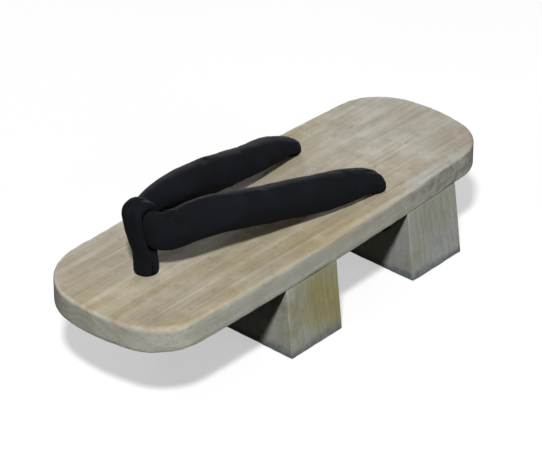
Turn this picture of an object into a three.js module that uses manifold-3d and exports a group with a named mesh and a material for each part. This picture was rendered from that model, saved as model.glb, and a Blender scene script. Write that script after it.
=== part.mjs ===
import * as THREE from "three";
import { mergeVertices } from "three/addons/utils/BufferGeometryUtils.js";
import Module from "manifold-3d";

const wasm = await Module();
wasm.setup();

// Sizes in millimetres. The toe points to -Y, +Z is up, the teeth stand on Z = 0.
const BOARD = {
  length: 240,
  thickness: 12.7,
  halfToe: 40.3,
  halfHeel: 36.1,
  sideBow: 3.3,
  toeRadius: 87,
  heelRadius: 76,
  toeCorner: { near: 26, far: 33 },
  heelCorner: { near: 25, far: 27 },
  topRound: 1.6,
  bottomRound: 1.0,
};
const TOOTH = {
  height: 35.5,
  inset: 0.3,
  cornerRound: 1.2,
  footChamfer: 0.8,
};
const TEETH = [
  { name: "tooth_front", front: -36.3, back: -1.6, backTop: -1.6, halfFoot: 45.2 },
  { name: "tooth_rear", front: 51.0, back: 86.6, backTop: 88.2, halfFoot: 44.3 },
];
const HOLE = { radius: 5.3, front: -79.4, frontSide: -3.4, rear: 42.2, rearSide: 26.2 };
const TOP = TOOTH.height + BOARD.thickness;
const GAP = 0.35;

// The padded strap from the apex of the V back to one rear hole. Rise is the height of its middle
// over the board, tilt is how far the wide axis of its oval section hangs down at the outer side.
const ARM = [
  { side: 0.0, back: -79.0, rise: 21.5, wide: 16.0, thick: 8.0, tilt: 88 },
  { side: 5.4, back: -77.2, rise: 21.5, wide: 16.2, thick: 8.0, tilt: 86 },
  { side: 8.8, back: -72.0, rise: 21.8, wide: 16.8, thick: 9.2, tilt: 80 },
  { side: 10.8, back: -65.0, rise: 22.0, wide: 17.6, thick: 11.0, tilt: 74 },
  { side: 13.8, back: -50.0, rise: 20.4, wide: 18.0, thick: 13.0, tilt: 66 },
  { side: 18.0, back: -22.0, rise: 15.2, wide: 17.6, thick: 13.8, tilt: 56 },
  { side: 21.6, back: 8.0, rise: 9.5, wide: 16.8, thick: 13.0, tilt: 38 },
  { side: 24.2, back: 27.5, rise: 6.5, wide: 16.0, thick: 11.4, tilt: 18 },
  { side: 25.5, back: 36.4, rise: 5.6, wide: 14.4, thick: 10.0, tilt: 10 },
  { side: 26.1, back: 40.8, rise: 4.0, wide: 12.8, thick: 10.2, tilt: 6 },
  { side: 26.2, back: 42.2, rise: 1.4, wide: 11.6, thick: 10.8, tilt: 0 },
  { side: 26.2, back: 42.2, rise: 0.5, wide: 11.2, thick: 11.0, tilt: 0 },
  { side: 26.2, back: 42.2, rise: -0.1, wide: 9.2, thick: 9.2, tilt: 0 },
  { side: 26.2, back: 42.2, rise: -12.8, wide: 9.0, thick: 9.0, tilt: 0 },
];
const ARM_STEPS = 4;
const ARM_ROUND = 20;
const APEX_LEAN = -5.2;
// Plain knots under the board: depth below the underside, half width across and along.
const KNOT = [
  { depth: 0.4, across: 6.6, along: 5.2 },
  { depth: 2.0, across: 8.6, along: 5.9 },
  { depth: 4.5, across: 9.0, along: 6.0 },
  { depth: 7.0, across: 7.2, along: 4.9 },
  { depth: 8.6, across: 3.6, along: 2.6 },
];

// The cloth loop round the apex of the strap, and the stem that it hangs from.
const LOOP = {
  middle: -79.0,
  rise: 21.5,
  thick: 4.2,
  frontWidth: 10.4,
  backWidth: 5.0,
  lean: -0.1,
  squareness: 2.4,
  steps: 36,
  round: 14,
};
const STEM = [
  { side: -4.2, back: -79.3, rise: 12.6, across: 4.9, along: 6.4 },
  { side: -4.0, back: -79.4, rise: 9.0, across: 5.2, along: 6.0 },
  { side: -3.6, back: -79.4, rise: 4.0, across: 5.3, along: 5.5 },
  { side: -3.4, back: -79.4, rise: 0.4, across: 5.5, along: 5.5 },
  { side: -3.4, back: -79.4, rise: -0.1, across: 4.8, along: 4.8 },
  { side: -3.4, back: -79.4, rise: -12.8, across: 4.8, along: 4.8 },
];

function material(colour, roughness) {
  return new THREE.MeshStandardMaterial({ color: colour, roughness: roughness, metalness: 0 });
}

// Skin over rings of equal point count. Closed ends are fans to the middle of the end rings.
function skin(rings, loop = false) {
  const count = rings[0].length;
  const points = [];
  const faces = [];
  for (const ring of rings) {
    for (const p of ring) {
      points.push(p.x, p.y, p.z);
    }
  }
  const spans = loop ? rings.length : rings.length - 1;
  for (let r = 0; r < spans; r++) {
    const here = r * count;
    const next = ((r + 1) % rings.length) * count;
    for (let k = 0; k < count; k++) {
      const k2 = (k + 1) % count;
      faces.push(here + k, here + k2, next + k2);
      faces.push(here + k, next + k2, next + k);
    }
  }
  if (!loop) {
    const ends = [
      [rings[0], 0, true],
      [rings.at(-1), (rings.length - 1) * count, false],
    ];
    for (const [ring, base, flip] of ends) {
      const mid = new THREE.Vector3();
      for (const p of ring) {
        mid.addScaledVector(p, 1 / count);
      }
      const m = points.length / 3;
      points.push(mid.x, mid.y, mid.z);
      for (let k = 0; k < count; k++) {
        const k2 = (k + 1) % count;
        faces.push(...(flip ? [m, base + k2, base + k] : [m, base + k, base + k2]));
      }
    }
  }
  const geometry = new THREE.BufferGeometry();
  geometry.setAttribute("position", new THREE.Float32BufferAttribute(points, 3));
  geometry.setIndex(faces);
  return outward(geometry);
}

// Turns the faces round if they point inwards.
function outward(geometry) {
  const p = geometry.getAttribute("position");
  const index = geometry.getIndex().array;
  const a = new THREE.Vector3();
  const b = new THREE.Vector3();
  const c = new THREE.Vector3();
  let volume = 0;
  for (let i = 0; i < index.length; i += 3) {
    a.fromBufferAttribute(p, index[i]);
    b.fromBufferAttribute(p, index[i + 1]);
    c.fromBufferAttribute(p, index[i + 2]);
    volume += a.dot(b.cross(c));
  }
  if (volume < 0) {
    for (let i = 0; i < index.length; i += 3) {
      [index[i], index[i + 1]] = [index[i + 1], index[i]];
    }
  }
  return geometry;
}

function solid(geometry) {
  geometry.deleteAttribute("normal");
  geometry.deleteAttribute("uv");
  const merged = mergeVertices(geometry, 1e-4);
  return new wasm.Manifold(new wasm.Mesh({
    numProp: 3,
    vertProperties: new Float32Array(merged.getAttribute("position").array),
    triVerts: new Uint32Array(merged.getIndex().array),
  }));
}

function toGeometry(body) {
  const mesh = body.getMesh();
  const geometry = new THREE.BufferGeometry();
  geometry.setAttribute("position", new THREE.Float32BufferAttribute(mesh.vertProperties, 3));
  geometry.setIndex(new THREE.Uint32BufferAttribute(mesh.triVerts, 1));
  return geometry;
}

function node(name, geometry, look) {
  geometry.computeVertexNormals();
  const mesh = new THREE.Mesh(geometry, look);
  mesh.name = name;
  return mesh;
}

// Half width of the board along its length: a straight taper to the heel with a slight bow.
function halfWidth(y) {
  const s = y / BOARD.length + 0.5;
  const bow = BOARD.sideBow * (1 - (2 * y / BOARD.length) ** 2);
  return BOARD.halfToe + (BOARD.halfHeel - BOARD.halfToe) * s + bow;
}

// One end of the plan outline: corner arc, then half of the end arc, as points on the +X side.
function endArcs(endRadius, cornerRadius, sign, inset) {
  let yCorner = BOARD.length * 0.38;
  let across = 0;
  for (let pass = 0; pass < 4; pass++) {
    across = halfWidth(sign * yCorner) - cornerRadius;
    yCorner = BOARD.length / 2 - endRadius + Math.sqrt((endRadius - cornerRadius) ** 2 - across ** 2);
  }
  const turn = Math.atan2(yCorner - (BOARD.length / 2 - endRadius), across);
  const points = [];
  for (let k = 0; k <= 7; k++) {
    const t = turn * k / 7;
    const r = cornerRadius - inset;
    points.push(new THREE.Vector2(across + r * Math.cos(t), sign * (yCorner + r * Math.sin(t))));
  }
  for (let k = 1; k <= 7; k++) {
    const t = turn + (Math.PI / 2 - turn) * k / 7;
    const r = endRadius - inset;
    const y = BOARD.length / 2 - endRadius + r * Math.sin(t);
    points.push(new THREE.Vector2(r * Math.cos(t), sign * y));
  }
  return points;
}

// One long side of the outline from toe to heel. The far side, -X, has the rounder toe corner.
function sideLine(which, inset) {
  const toe = endArcs(BOARD.toeRadius, BOARD.toeCorner[which], -1, inset).reverse();
  const heel = endArcs(BOARD.heelRadius, BOARD.heelCorner[which], 1, inset);
  const from = toe.at(-1).y;
  const to = heel[0].y;
  const side = [];
  for (let k = 1; k < 12; k++) {
    const y = from + (to - from) * k / 12;
    side.push(new THREE.Vector2(halfWidth(y) - inset, y));
  }
  return [...toe, ...side, ...heel];
}

function boardRing(inset, z) {
  const near = sideLine("near", inset);
  const far = sideLine("far", inset).slice(1, -1).reverse();
  return [
    ...near.map((p) => new THREE.Vector3(p.x, p.y, z)),
    ...far.map((p) => new THREE.Vector3(-p.x, p.y, z)),
  ];
}

function makeBoard() {
  const rings = [];
  for (let k = 0; k <= 2; k++) {
    const t = Math.PI / 2 * k / 2;
    const z = TOOTH.height + BOARD.bottomRound * (1 - Math.cos(t));
    rings.push(boardRing(BOARD.bottomRound * (1 - Math.sin(t)), z));
  }
  for (let k = 0; k <= 3; k++) {
    const t = Math.PI / 2 * k / 3;
    const z = TOP - BOARD.topRound * (1 - Math.sin(t));
    rings.push(boardRing(BOARD.topRound * (1 - Math.cos(t)), z));
  }
  let body = solid(skin(rings));
  const holes = [
    [HOLE.frontSide, HOLE.front],
    [HOLE.rearSide, HOLE.rear],
    [-HOLE.rearSide, HOLE.rear],
  ];
  for (const [x, y] of holes) {
    const drill = new THREE.CylinderGeometry(HOLE.radius, HOLE.radius, BOARD.thickness + 4, 32);
    drill.rotateX(Math.PI / 2);
    drill.translate(x, y, TOOTH.height + BOARD.thickness / 2);
    body = body.subtract(solid(drill));
  }
  return toGeometry(body);
}

// A tooth is flush with the sides of the board at its top and flares to its foot.
function toothRing(tooth, z, inset) {
  const s = z / TOOTH.height;
  const r = TOOTH.cornerRound;
  const back = THREE.MathUtils.lerp(tooth.back, tooth.backTop, s);
  const corners = [
    [1, tooth.front, -1, -Math.PI / 2],
    [1, back, 1, 0],
    [-1, back, 1, Math.PI / 2],
    [-1, tooth.front, -1, Math.PI],
  ];
  const ring = [];
  for (const [side, y, along, start] of corners) {
    const half = tooth.halfFoot + (halfWidth(y) - TOOTH.inset - tooth.halfFoot) * s - inset;
    for (let k = 0; k <= 3; k++) {
      const t = start + Math.PI / 2 * k / 3;
      const cx = side * (half - r);
      const cy = y - along * (r + inset);
      ring.push(new THREE.Vector3(cx + r * Math.cos(t), cy + r * Math.sin(t), z));
    }
  }
  return ring;
}

function makeTooth(tooth) {
  return skin([
    toothRing(tooth, 0, TOOTH.footChamfer),
    toothRing(tooth, TOOTH.footChamfer, 0),
    toothRing(tooth, TOOTH.height, 0),
  ]);
}

// Point of a rounded oval: squareness 2 is an ellipse, more is fuller in its corners.
function onOval(t, squareness) {
  const full = (v) => Math.sign(v) * Math.abs(v) ** (2 / squareness);
  return new THREE.Vector2(full(Math.cos(t)), full(Math.sin(t)));
}

function oval(centre, wideAxis, thickAxis, wide, thick, count, squareness = 2.2) {
  const ring = [];
  for (let k = 0; k < count; k++) {
    const at = onOval(2 * Math.PI * k / count, squareness);
    const p = centre.clone();
    p.addScaledVector(wideAxis, at.x * wide / 2);
    p.addScaledVector(thickAxis, at.y * thick / 2);
    ring.push(p);
  }
  return ring;
}

// The apex leans to one side, and the lean fades out towards the rear holes.
function lean(y) {
  return APEX_LEAN * THREE.MathUtils.clamp((HOLE.rear - y) / (HOLE.rear - ARM[0].back), 0, 1);
}

function knotRings(x, y, side) {
  return KNOT.map((k) => oval(
    new THREE.Vector3(x, y, TOOTH.height - k.depth),
    new THREE.Vector3(side, 0, 0),
    new THREE.Vector3(0, 1, 0),
    2 * k.across,
    2 * k.along,
    ARM_ROUND,
    2,
  ));
}

// Rings of one arm, from the apex to its rear knot, on the +X side or mirrored to the -X side.
function armRings(side) {
  const place = (row, way) => new THREE.Vector3(way * row.side + lean(row.back), row.back, TOP + row.rise);
  const path = ARM.map((row) => place(row, side));
  const before = place(ARM[1], -side);
  const curve = new THREE.CatmullRomCurve3([before, ...path], false, "centripetal");
  const up = new THREE.Vector3(0, 0, 1);
  const spans = path.length;
  const rings = [];
  let out = new THREE.Vector3(0, -1, 0);
  for (let k = 0; k <= (spans - 1) * ARM_STEPS; k++) {
    const row = Math.min(Math.floor(k / ARM_STEPS), spans - 2);
    const f = k / ARM_STEPS - row;
    const mix = (key) => THREE.MathUtils.lerp(ARM[row][key], ARM[row + 1][key], f);
    const u = (row + 1 + f) / spans;
    const centre = curve.getPoint(u);
    const along = curve.getTangent(u);
    const flat = new THREE.Vector3(along.x, along.y, 0);
    if (flat.length() > 0.5) {
      out = flat.normalize().cross(up).multiplyScalar(side);
    }
    const tilt = THREE.MathUtils.degToRad(mix("tilt"));
    const wideAxis = out.clone().multiplyScalar(Math.cos(tilt)).addScaledVector(up, -Math.sin(tilt));
    wideAxis.addScaledVector(along, -wideAxis.dot(along)).normalize();
    const thickAxis = new THREE.Vector3().crossVectors(along, wideAxis).normalize().multiplyScalar(-side);
    rings.push(oval(centre, wideAxis, thickAxis, mix("wide"), mix("thick"), ARM_ROUND));
  }
  return rings;
}

function makeStrap() {
  const right = [...armRings(1), ...knotRings(HOLE.rearSide, HOLE.rear, 1)];
  const left = [...armRings(-1), ...knotRings(-HOLE.rearSide, HOLE.rear, -1)].slice(1).reverse();
  return skin([...left, ...right]);
}

// The loop goes up in front of the apex, over it and down behind it; it is narrower behind.
function makeThong() {
  const across = new THREE.Vector3(1, 0, 0);
  const halfAlong = ARM[0].thick / 2 + GAP + LOOP.thick / 2;
  const halfUp = ARM[0].wide / 2 + GAP + LOOP.thick / 2;
  const at = (t) => {
    const o = onOval(t, LOOP.squareness);
    const rise = halfUp * o.y;
    const side = APEX_LEAN + LOOP.lean * rise;
    return new THREE.Vector3(side, LOOP.middle - halfAlong * o.x, TOP + LOOP.rise + rise);
  };
  const rings = [];
  for (let k = 0; k < LOOP.steps; k++) {
    const t = 2 * Math.PI * k / LOOP.steps;
    const along = at(t + 0.05).sub(at(t - 0.05)).normalize();
    const wideAxis = across.clone().addScaledVector(along, -across.dot(along)).normalize();
    const thickAxis = new THREE.Vector3().crossVectors(along, wideAxis);
    const front = THREE.MathUtils.smoothstep(Math.cos(t), -0.8, 0.1);
    const wide = THREE.MathUtils.lerp(LOOP.backWidth, LOOP.frontWidth, front);
    rings.push(oval(at(t), wideAxis, thickAxis, wide, LOOP.thick, LOOP.round, LOOP.squareness));
  }
  const stem = STEM.map((row) => oval(
    new THREE.Vector3(row.side, row.back, TOP + row.rise),
    across,
    new THREE.Vector3(0, 1, 0),
    2 * row.across,
    2 * row.along,
    ARM_ROUND,
    2,
  ));
  const post = skin([...stem, ...knotRings(HOLE.frontSide, HOLE.front, 1)]);
  return toGeometry(solid(skin(rings, true)).add(solid(post)));
}

const root = new THREE.Group();
root.name = "geta";
root.add(node("board", makeBoard(), material(0xaaa28e, 0.7)));
for (const tooth of TEETH) {
  root.add(node(tooth.name, makeTooth(tooth), material(0x807c68, 0.75)));
}
root.add(node("strap", makeStrap(), material(0x181b24, 0.9)));
root.add(node("toe_thong", makeThong(), material(0x181b24, 0.9)));

export default root;
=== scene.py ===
import math

import bpy
from bpy.props import FloatProperty, FloatVectorProperty, IntProperty, PointerProperty
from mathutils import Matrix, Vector, kdtree, noise
from mathutils.geometry import delaunay_2d_cdt


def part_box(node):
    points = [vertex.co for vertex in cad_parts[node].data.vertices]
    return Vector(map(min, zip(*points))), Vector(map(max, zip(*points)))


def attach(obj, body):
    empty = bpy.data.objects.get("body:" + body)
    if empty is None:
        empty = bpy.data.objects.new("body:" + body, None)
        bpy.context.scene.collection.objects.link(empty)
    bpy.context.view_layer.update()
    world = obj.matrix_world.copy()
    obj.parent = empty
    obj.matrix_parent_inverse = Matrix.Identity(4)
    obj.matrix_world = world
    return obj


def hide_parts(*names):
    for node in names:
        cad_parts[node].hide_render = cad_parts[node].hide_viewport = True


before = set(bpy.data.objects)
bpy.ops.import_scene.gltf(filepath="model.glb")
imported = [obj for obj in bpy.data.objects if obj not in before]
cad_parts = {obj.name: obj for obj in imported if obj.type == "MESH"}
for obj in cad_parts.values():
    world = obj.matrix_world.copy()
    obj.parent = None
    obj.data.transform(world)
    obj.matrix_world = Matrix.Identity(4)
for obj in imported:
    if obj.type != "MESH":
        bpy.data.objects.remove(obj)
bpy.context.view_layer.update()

bl_info = {
    "name": "Geta sandal",
    "version": (1, 0, 0),
    "blender": (4, 5, 0),
    "location": "3D View > Sidebar > Geta",
    "description": "Makes a wooden geta: planed board and teeth, padded cloth strap, toe thong and knots",
    "category": "Add Mesh",
}

MM = 0.001
UP = Vector((0, 0, 1))
EVEN = (1.0, 1.0, 1.0)
BOARD_LOW, BOARD_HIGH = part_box("board")
TOP = BOARD_HIGH.z
UNDER = BOARD_LOW.z
HALF_LENGTH = (BOARD_HIGH.y - BOARD_LOW.y) / 2

# Holes through the board: side, back, in millimetres as the tables below.
HOLES = {"front": (-3.4, -79.4), "rear_near": (26.2, 42.2), "rear_far": (-26.2, 42.2)}
HOLE_RADIUS = 5.3

# One arm of the strap from the apex to its rear hole.
# Side, back and rise over the board of its middle, width, thickness, and tilt in degrees.
ARM = (
    (0.0, -79.0, 21.9, 17.0, 8.0, 88),
    (5.4, -77.2, 21.2, 17.8, 8.2, 86),
    (7.2, -75.0, 20.2, 19.2, 9.0, 84),
    (8.8, -72.0, 19.9, 20.4, 9.8, 80),
    (10.8, -65.0, 20.9, 20.2, 11.4, 74),
    (13.8, -50.0, 20.6, 19.6, 13.8, 66),
    (18.0, -22.0, 15.6, 19.6, 15.4, 56),
    (21.7, 8.0, 9.9, 19.0, 14.8, 38),
    (24.2, 27.5, 7.3, 17.0, 13.0, 18),
    (25.5, 36.4, 6.0, 15.0, 10.7, 10),
    (26.1, 40.8, 4.0, 12.8, 10.2, 6),
    (26.2, 42.2, 1.4, 11.6, 10.8, 0),
    (26.2, 42.2, 0.5, 11.2, 11.0, 0),
    (26.2, 42.2, -0.1, 9.2, 9.2, 0),
    (26.2, 42.2, -13.2, 9.0, 9.0, 0),
)
APEX_LEAN = -5.2
# The inner arm is drawn down flatter towards its hole, by this much at most.
INNER_DROP = 1.8

# The toe thong, one folded sleeve: up in front of the apex, over it and down behind it.
# Side, back and rise over the board of its middle, width and thickness.
THONG = (
    (-3.4, -81.7, -13.2, 9.2, 4.4),
    (-3.4, -81.7, -0.4, 9.3, 4.4),
    (-3.4, -81.7, 0.9, 9.4, 4.6),
    (-3.3, -81.7, 3.6, 9.4, 4.8),
    (-3.3, -81.9, 8.6, 9.4, 4.9),
    (-3.3, -83.3, 13.0, 9.6, 4.5),
    (-3.7, -84.9, 18.0, 9.5, 4.2),
    (-5.3, -85.1, 24.0, 10.4, 4.2),
    (-6.8, -84.1, 30.5, 11.2, 4.2),
    (-6.9, -79.1, 32.7, 11.0, 4.2),
    (-6.2, -75.0, 30.4, 8.9, 4.2),
    (-5.5, -73.2, 25.0, 6.2, 4.2),
    (-5.0, -73.0, 19.0, 5.0, 4.2),
    (-4.4, -74.0, 14.0, 5.4, 4.4),
    (-3.9, -76.8, 8.6, 8.6, 4.9),
    (-3.4, -77.2, 3.6, 9.4, 4.9),
    (-3.4, -77.3, 0.9, 9.4, 4.6),
    (-3.4, -77.1, -0.4, 9.3, 4.4),
    (-3.4, -77.1, -13.2, 9.2, 4.4),
)

# Each tooth in plan: front, back at the foot, back at the top, half width at the foot.
TEETH = {
    "front": (-36.3, -1.6, -1.6, 45.2),
    "rear": (51.0, 86.6, 88.2, 44.3),
}


class GetaBoard(bpy.types.PropertyGroup):
    half_toe: FloatProperty(
        name="Half width at the toe", description="Half width of the board's taper at its toe end",
        default=0.0403, min=0.01, unit="LENGTH", subtype="DISTANCE")
    half_heel: FloatProperty(
        name="Half width at the heel", description="Half width of the board's taper at its heel end",
        default=0.0361, min=0.01, unit="LENGTH", subtype="DISTANCE")
    side_bow: FloatProperty(
        name="Side bow", description="How far each long side bows out in the middle",
        default=0.0033, min=0.0, unit="LENGTH", subtype="DISTANCE")
    toe_radius: FloatProperty(
        name="Toe radius", description="Radius of the toe end in plan",
        default=0.087, min=0.05, unit="LENGTH", subtype="DISTANCE")
    heel_radius: FloatProperty(
        name="Heel radius", description="Radius of the heel end in plan",
        default=0.076, min=0.05, unit="LENGTH", subtype="DISTANCE")
    toe_corner_near: FloatProperty(
        name="Outer toe corner", description="Corner radius at the toe on the outer side",
        default=0.026, min=0.005, unit="LENGTH", subtype="DISTANCE")
    toe_corner_far: FloatProperty(
        name="Inner toe corner", description="Corner radius at the toe on the inner side",
        default=0.033, min=0.005, unit="LENGTH", subtype="DISTANCE")
    heel_corner_near: FloatProperty(
        name="Outer heel corner", description="Corner radius at the heel on the outer side",
        default=0.025, min=0.005, unit="LENGTH", subtype="DISTANCE")
    heel_corner_far: FloatProperty(
        name="Inner heel corner", description="Corner radius at the heel on the inner side",
        default=0.027, min=0.005, unit="LENGTH", subtype="DISTANCE")
    top_round: FloatProperty(
        name="Top edge round", description="Radius of the rounded top edge",
        default=0.0016, min=0.0002, unit="LENGTH", subtype="DISTANCE")
    under_round: FloatProperty(
        name="Bottom edge round", description="Radius of the rounded bottom edge",
        default=0.0007, min=0.0002, unit="LENGTH", subtype="DISTANCE")
    wear: FloatProperty(
        name="Edge wear", description="Depth of the dents along the worn edges",
        default=0.0006, min=0.0, unit="LENGTH", subtype="DISTANCE")


class GetaTeeth(bpy.types.PropertyGroup):
    corner_round: FloatProperty(
        name="Corner round", description="Radius of the upright corners of a tooth",
        default=0.00025, min=0.0002, unit="LENGTH", subtype="DISTANCE")
    foot_round: FloatProperty(
        name="Foot round", description="Rounding where a tooth meets the ground",
        default=0.0009, min=0.0002, unit="LENGTH", subtype="DISTANCE")
    joint_round: FloatProperty(
        name="Joint round", description="Rounding of a tooth where it is glued under the board",
        default=0.00015, min=0.0001, unit="LENGTH", subtype="DISTANCE")
    wear: FloatProperty(
        name="Foot wear", description="Depth of the dents along the foot edges",
        default=0.0006, min=0.0, unit="LENGTH", subtype="DISTANCE")


class GetaWood(bpy.types.PropertyGroup):
    pale: FloatVectorProperty(
        name="Pale wood", description="Main colour of the board",
        default=(0.350, 0.311, 0.238), size=3, min=0.0, max=1.0, subtype="COLOR")
    warm: FloatVectorProperty(
        name="Warm wood", description="Colour of the tan patches",
        default=(0.328, 0.273, 0.156), size=3, min=0.0, max=1.0, subtype="COLOR")
    tan: FloatVectorProperty(
        name="Tan wood", description="Colour of the duller patches of the board",
        default=(0.285, 0.242, 0.188), size=3, min=0.0, max=1.0, subtype="COLOR")
    grey: FloatVectorProperty(
        name="Grey wood", description="Colour of the bleached heel and of weathered patches",
        default=(0.374, 0.363, 0.315), size=3, min=0.0, max=1.0, subtype="COLOR")
    wall: FloatVectorProperty(
        name="Side wood", description="Colour of the board's sides and ends",
        default=(0.430, 0.434, 0.378), size=3, min=0.0, max=1.0, subtype="COLOR")
    line: FloatVectorProperty(
        name="Grain line", description="Tint of the growth lines and fibres, laid over the wood",
        default=(0.680, 0.620, 0.540), size=3, min=0.0, max=1.0, subtype="COLOR")
    # Also laid along the board's rounded rims, where it is partly a painted highlight.
    edge: FloatVectorProperty(
        name="Rubbed wood",
        description="Colour of the wood laid bare along worn edges and in bleached streaks",
        default=(0.660, 0.630, 0.560), size=3, min=0.0, max=1.0, subtype="COLOR")
    olive: FloatVectorProperty(
        name="Tooth wood", description="Main colour of the front tooth",
        default=(0.285, 0.280, 0.172), size=3, min=0.0, max=1.0, subtype="COLOR")
    ochre: FloatVectorProperty(
        name="Tooth patches", description="Colour of the yellowish patches on the teeth",
        default=(0.272, 0.246, 0.108), size=3, min=0.0, max=1.0, subtype="COLOR")
    slate: FloatVectorProperty(
        name="Weathered tooth", description="Colour of the greyed wood of the teeth",
        default=(0.335, 0.350, 0.328), size=3, min=0.0, max=1.0, subtype="COLOR")
    # Blue-grey tone laid over the foot of each tooth, darkest at the very bottom.
    greying: FloatVectorProperty(
        name="Foot grime", description="Colour of the dirty band at the feet of the teeth",
        default=(0.265, 0.290, 0.305), size=3, min=0.0, max=1.0, subtype="COLOR")
    ring_pitch: FloatProperty(
        name="Growth ring pitch", description="Distance from one growth ring to the next",
        default=0.0042, min=0.0005, unit="LENGTH", subtype="DISTANCE")
    # Height of the blue-grey band at the foot of each tooth.
    greying_height: FloatProperty(
        name="Grime height", description="Height of the dirty band at the feet of the teeth",
        default=0.0036, min=0.0, unit="LENGTH", subtype="DISTANCE")


class GetaCloth(bpy.types.PropertyGroup):
    navy: FloatVectorProperty(
        name="Cloth", description="Colour of the strap cloth",
        default=(0.0050, 0.0056, 0.0076), size=3, min=0.0, max=1.0, subtype="COLOR")
    faded: FloatVectorProperty(
        name="Faded cloth", description="Colour of the cloth where it is rubbed and faded",
        default=(0.0080, 0.0092, 0.0134), size=3, min=0.0, max=1.0, subtype="COLOR")
    thread_pitch: FloatProperty(
        name="Thread pitch", description="Distance from one thread of the weave to the next",
        default=0.00045, min=0.0001, unit="LENGTH", subtype="DISTANCE")
    slack: FloatProperty(
        name="Slack", description="How much slimmer the strap is before its padding fills it",
        default=0.02, min=0.0, max=0.5, subtype="FACTOR")
    spare: FloatProperty(
        name="Spare cloth", description="How much longer and wider the cloth is cut than the strap",
        default=0.006, min=0.0, max=0.5, subtype="FACTOR")
    pressure: FloatProperty(
        name="Padding pressure", description="Push of the padding on the cloth in the simulation",
        default=25.0, min=0.0)
    stiffness: FloatProperty(
        name="Cloth stiffness", description="Resistance of the cloth to stretching in the simulation",
        default=5.0, min=0.0)
    bending: FloatProperty(
        name="Cloth bending", description="Resistance of the cloth to folding in the simulation",
        default=0.1, min=0.0)
    swell: FloatProperty(
        name="Most swelling", description="The furthest that the padding may push the cloth out",
        default=0.0008, min=0.0, unit="LENGTH", subtype="DISTANCE")
    lump: FloatProperty(
        name="Padding lumps", description="Height of the soft lumps in the padding",
        default=0.00035, min=0.0, unit="LENGTH", subtype="DISTANCE")
    pleat: FloatProperty(
        name="Pleat depth", description="Depth of the gathered pleats at the rear holes",
        default=0.0005, min=0.0, unit="LENGTH", subtype="DISTANCE")
    pleat_count: IntProperty(
        name="Pleats", description="Number of gathered pleats round each rear end",
        default=13, min=3, max=40)
    fold: FloatProperty(
        name="Fold depth", description="Depth of the folds beside the toe thong",
        default=0.0007, min=0.0, unit="LENGTH", subtype="DISTANCE")
    seam: FloatProperty(
        name="Seam depth", description="Depth of the sewn seam along the underside of the strap",
        default=0.0009, min=0.0, unit="LENGTH", subtype="DISTANCE")
    stitch_spacing: FloatProperty(
        name="Stitch spacing", description="Distance from one stitch to the next",
        default=0.0030, min=0.0005, unit="LENGTH", subtype="DISTANCE")
    stitch_length: FloatProperty(
        name="Stitch length", description="Length of one stitch",
        default=0.0021, min=0.0003, unit="LENGTH", subtype="DISTANCE")
    thread: FloatProperty(
        name="Sewing thread", description="Thickness of the sewing thread",
        default=0.00055, min=0.0001, unit="LENGTH", subtype="DISTANCE")


class GetaStage(bpy.types.PropertyGroup):
    floor: FloatVectorProperty(
        name="Floor", description="Colour of the plain floor",
        default=(0.46, 0.46, 0.46), size=3, min=0.0, max=1.0, subtype="COLOR")
    floor_glow: FloatProperty(
        name="Floor glow", description="Even light that the floor gives off, like a lit table",
        default=0.50, min=0.0, subtype="FACTOR")
    key_power: FloatProperty(
        name="Key light", description="Power of the light above the camera",
        default=115.0, min=0.0, unit="POWER")
    side_power: FloatProperty(
        name="Side light", description="Power of the soft light on the outer side",
        default=24.5, min=0.0, unit="POWER")
    back_power: FloatProperty(
        name="Back light", description="Power of the soft light behind the inner side",
        default=58.0, min=0.0, unit="POWER")
    top_power: FloatProperty(
        name="Overhead light", description="Power of the large soft light overhead",
        default=2.0, min=0.0, unit="POWER")
    sky: FloatProperty(
        name="Room light", description="Strength of the even light from the upper half of the room",
        default=0.12, min=0.0, subtype="FACTOR")
    backdrop: FloatProperty(
        name="Backdrop", description="Brightness of the plain room behind the floor",
        default=0.92, min=0.0, subtype="FACTOR")
    distance: FloatProperty(
        name="Camera distance", description="Distance of the camera from the middle of the floor print",
        default=1.4458, min=0.1, unit="LENGTH", subtype="DISTANCE")
    azimuth: FloatProperty(
        name="Camera turn", description="Turn of the camera from the toe towards the outer side",
        default=math.radians(41.697), unit="ROTATION", subtype="ANGLE")
    elevation: FloatProperty(
        name="Camera elevation", description="Angle of the camera over the floor",
        default=math.radians(32.664), unit="ROTATION", subtype="ANGLE")
    lens: FloatProperty(
        name="Lens", description="Focal length of the camera",
        default=205.0, min=10.0, unit="CAMERA")


GROUPS = {
    "geta_board": GetaBoard,
    "geta_teeth": GetaTeeth,
    "geta_wood": GetaWood,
    "geta_cloth": GetaCloth,
    "geta_stage": GetaStage,
}


def smooth(value, low, high):
    """0 at low, 1 at high, with an easy start and stop."""
    t = min(max((value - low) / (high - low), 0.0), 1.0)
    return t * t * (3 - 2 * t)


def mixed(a, b, t):
    return a + (b - a) * t


def linked(name, data):
    """A new object of the scene."""
    made = bpy.data.objects.new(name, data)
    bpy.context.scene.collection.objects.link(made)
    return made


def band(here, there, count):
    """Faces between two rings of count points that start at the indices here and there."""
    return [(here + k, here + (k + 1) % count, there + (k + 1) % count, there + k) for k in range(count)]


def new_piece(name, points, faces, material):
    """A mesh object at the origin with smooth faces that point outwards."""
    mesh = bpy.data.meshes.new(name)
    mesh.from_pydata([tuple(p) for p in points], [], faces)
    mesh.validate()
    mesh.shade_smooth()
    if material:
        mesh.materials.append(material)
    return linked(name, mesh)


# Wooden pieces.

# Steps along the board's corner arcs, half end arcs and sides in plan.
CORNER_STEPS = 26
END_STEPS = 30
SIDE_STEPS = 170
# The search for the middle of a corner arc: its start as a share of the half length, and its rounds.
CORNER_GUESS = 0.76
CORNER_ROUNDS = 4
# Points of a tooth's corner arcs, and steps along its narrow and its wide faces.
TOOTH_CORNER = 6
TOOTH_STEPS = (18, 46)
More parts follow.
